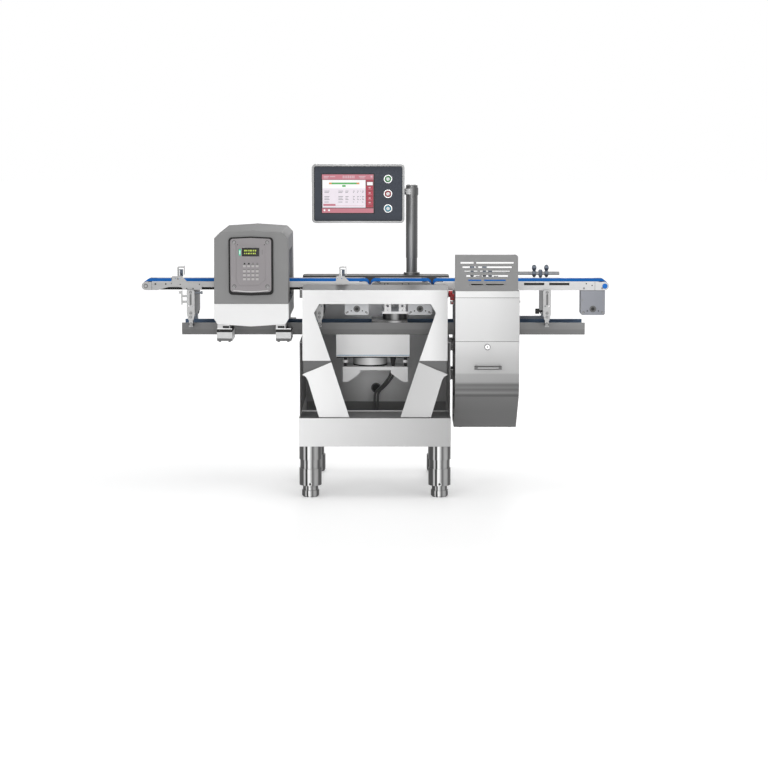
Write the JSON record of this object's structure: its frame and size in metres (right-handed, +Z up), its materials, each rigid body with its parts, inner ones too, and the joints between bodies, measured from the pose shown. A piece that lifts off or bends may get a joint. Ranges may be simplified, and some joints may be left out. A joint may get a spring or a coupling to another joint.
{
  "type": "checkweigher with metal detector",
  "caption": "Belt conveyor line that carries packs through a metal detector, over a weighing conveyor and past a reject bin, on a steel frame with an operator terminal",
  "frame": {"origin": "on the floor, under the middle of the machine's bounding box", "axes": "+X along the belts, the way the packs travel, +Y away from the operator, +Z up"},
  "size_m": [1.897, 0.66, 1.314],
  "materials": {
    "frame_steel": "satin",
    "bright_steel": "fine brushed",
    "dark_steel": "satin",
    "detector_grey": "fine texture",
    "detector_white": "satin",
    "belt_blue": "matt",
    "bed_black": "matt",
    "roller_aluminium": "turned",
    "cast_aluminium": "satin",
    "terminal_dark": "satin",
    "panel_grey": "matt",
    "black_rubber": "matt",
    "window_black": "gloss",
    "display_red": "gloss",
    "key_dark": "matt",
    "sensor_blue": "matt",
    "button_green": "gloss",
    "button_red": "gloss",
    "button_teal": "gloss",
    "switch_red": "gloss",
    "cable_black": "matt"
  },
  "bodies": {
    "machine": {"base_tray": "bright_steel", "legs": "frame_steel", "side_frames": "frame_steel", "front_panel": "bright_steel", "deflectors": "bright_steel", "rear_panel": "frame_steel", "rear_beam": "frame_steel", "conveyor_rail": "dark_steel", "electronics_box": "bright_steel", "box_bracket": "frame_steel", "load_cell": "dark_steel", "load_plate": "frame_steel", "signal_cables": "cable_black", "infeed_frame": "frame_steel", "weigh_frame": "frame_steel", "outfeed_frame": "frame_steel", "infeed_belt": "belt_blue", "weigh_belt": "belt_blue", "outfeed_belt": "belt_blue", "slider_beds": "bed_black", "drive_housings": "cast_aluminium", "conveyor_supports": "frame_steel", "detector_housing": "detector_grey", "detector_cover": "detector_white", "search_coil": "bed_black", "panel_gasket": "black_rubber", "control_panel": "panel_grey", "panel_windows": "window_black", "keypad": "key_dark", "detector_mounts": "cast_aluminium", "mount_rubbers": "black_rubber", "barrier_brackets": "frame_steel", "barrier_sensors": "sensor_blue", "guide_rod": "frame_steel", "air_nozzles": "cast_aluminium", "terminal_pole": "frame_steel", "bin_cabinet": "bright_steel", "fasteners": "frame_steel"},
    "foot_front_left_body": {"foot_front_left": "frame_steel"},
    "foot_front_right_body": {"foot_front_right": "frame_steel"},
    "foot_rear_left_body": {"foot_rear_left": "frame_steel"},
    "foot_rear_right_body": {"foot_rear_right": "frame_steel"},
    "infeed_drive": {"infeed_drive_roller": "roller_aluminium"},
    "infeed_tail": {"infeed_tail_roller": "roller_aluminium"},
    "weigh_drive": {"weigh_drive_roller": "roller_aluminium"},
    "weigh_tail": {"weigh_tail_roller": "roller_aluminium"},
    "outfeed_drive": {"outfeed_drive_roller": "roller_aluminium"},
    "outfeed_tail": {"outfeed_tail_roller": "roller_aluminium"},
    "clamp_knob": {"support_knob": "bed_black"},
    "swivel_arm": {"terminal_arm": "cast_aluminium"},
    "terminal": {"terminal_housing": "terminal_dark", "terminal_display": "display_red"},
    "start": {"start_button": "button_green"},
    "stop": {"stop_button": "button_red"},
    "menu": {"menu_button": "button_teal"},
    "hood_body": {"hood": "frame_steel"},
    "door": {"bin_door": "bright_steel", "door_handle": "frame_steel"},
    "lock": {"door_lock": "frame_steel"},
    "switch": {"main_switch": "switch_red"}
  },
  "joints": [
    {"name": "foot_front_left_turn", "type": "hinge", "parent": "machine", "child": "foot_front_left_body", "pos_m": [-0.258, -0.285, 0], "axis": [0, 0, 1], "continuous": true},
    {"name": "foot_front_right_turn", "type": "hinge", "parent": "machine", "child": "foot_front_right_body", "pos_m": [0.258, -0.285, 0], "axis": [0, 0, 1], "continuous": true},
    {"name": "foot_rear_left_turn", "type": "hinge", "parent": "machine", "child": "foot_rear_left_body", "pos_m": [-0.258, 0.285, 0], "axis": [0, 0, 1], "continuous": true},
    {"name": "foot_rear_right_turn", "type": "hinge", "parent": "machine", "child": "foot_rear_right_body", "pos_m": [0.258, 0.285, 0], "axis": [0, 0, 1], "continuous": true},
    {"name": "infeed_drive_spin", "type": "hinge", "parent": "machine", "child": "infeed_drive", "pos_m": [-0.043, 0, 0.8285], "axis": [0, 1, 0], "continuous": true},
    {"name": "infeed_tail_spin", "type": "hinge", "parent": "machine", "child": "infeed_tail", "pos_m": [-0.931, 0, 0.8285], "axis": [0, 1, 0], "continuous": true},
    {"name": "weigh_drive_spin", "type": "hinge", "parent": "machine", "child": "weigh_drive", "pos_m": [0.2125, 0, 0.8285], "axis": [0, 1, 0], "continuous": true},
    {"name": "weigh_tail_spin", "type": "hinge", "parent": "machine", "child": "weigh_tail", "pos_m": [-0.0025, 0, 0.8285], "axis": [0, 1, 0], "continuous": true},
    {"name": "outfeed_drive_spin", "type": "hinge", "parent": "machine", "child": "outfeed_drive", "pos_m": [0.931, 0, 0.8285], "axis": [0, 1, 0], "continuous": true},
    {"name": "outfeed_tail_spin", "type": "hinge", "parent": "machine", "child": "outfeed_tail", "pos_m": [0.253, 0, 0.8285], "axis": [0, 1, 0], "continuous": true},
    {"name": "clamp_knob_turn", "type": "hinge", "parent": "machine", "child": "clamp_knob", "pos_m": [0.659, -0.082, 0.724], "axis": [1, 0, 0], "continuous": true},
    {"name": "terminal_swivel", "type": "hinge", "parent": "machine", "child": "swivel_arm", "pos_m": [0.151, 0.25, 1.197], "axis": [0, 0, 1], "range_deg": [-60, 60]},
    {"name": "terminal_tilt", "type": "hinge", "parent": "swivel_arm", "child": "terminal", "pos_m": [-0.073, 0.23, 1.197], "axis": [1, 0, 0], "range_deg": [-20, 20]},
    {"name": "start_press", "type": "slide", "parent": "terminal", "child": "start", "axis": [0, 1, 0], "range_m": [0, 0.003], "stiffness_N_per_m": 400},
    {"name": "stop_press", "type": "slide", "parent": "terminal", "child": "stop", "axis": [0, 1, 0], "range_m": [0, 0.003], "stiffness_N_per_m": 400},
    {"name": "menu_press", "type": "slide", "parent": "terminal", "child": "menu", "axis": [0, 1, 0], "range_m": [0, 0.003], "stiffness_N_per_m": 400},
    {"name": "hood_swing", "type": "hinge", "parent": "machine", "child": "hood_body", "pos_m": [0.555, -0.29, 0.9], "axis": [0, 0, 1], "range_deg": [0, 100]},
    {"name": "bin_door_swing", "type": "hinge", "parent": "machine", "child": "door", "pos_m": [0.447, -0.09, 0.256], "axis": [1, 0, 0], "range_deg": [0, 60]},
    {"name": "door_lock_turn", "type": "hinge", "parent": "door", "child": "lock", "pos_m": [0.447, -0.3, 0.604], "axis": [0, 1, 0], "range_deg": [0, 90]},
    {"name": "main_switch_turn", "type": "hinge", "parent": "machine", "child": "switch", "pos_m": [0.3, -0.15, 0.801], "axis": [1, 0, 0], "range_deg": [0, 90]}
  ],
  "couplings": [
    {"joint": "infeed_tail_spin", "follows": "infeed_drive_spin", "ratio": 1},
    {"joint": "weigh_tail_spin", "follows": "weigh_drive_spin", "ratio": 1},
    {"joint": "outfeed_tail_spin", "follows": "outfeed_drive_spin", "ratio": 1}
  ]
}
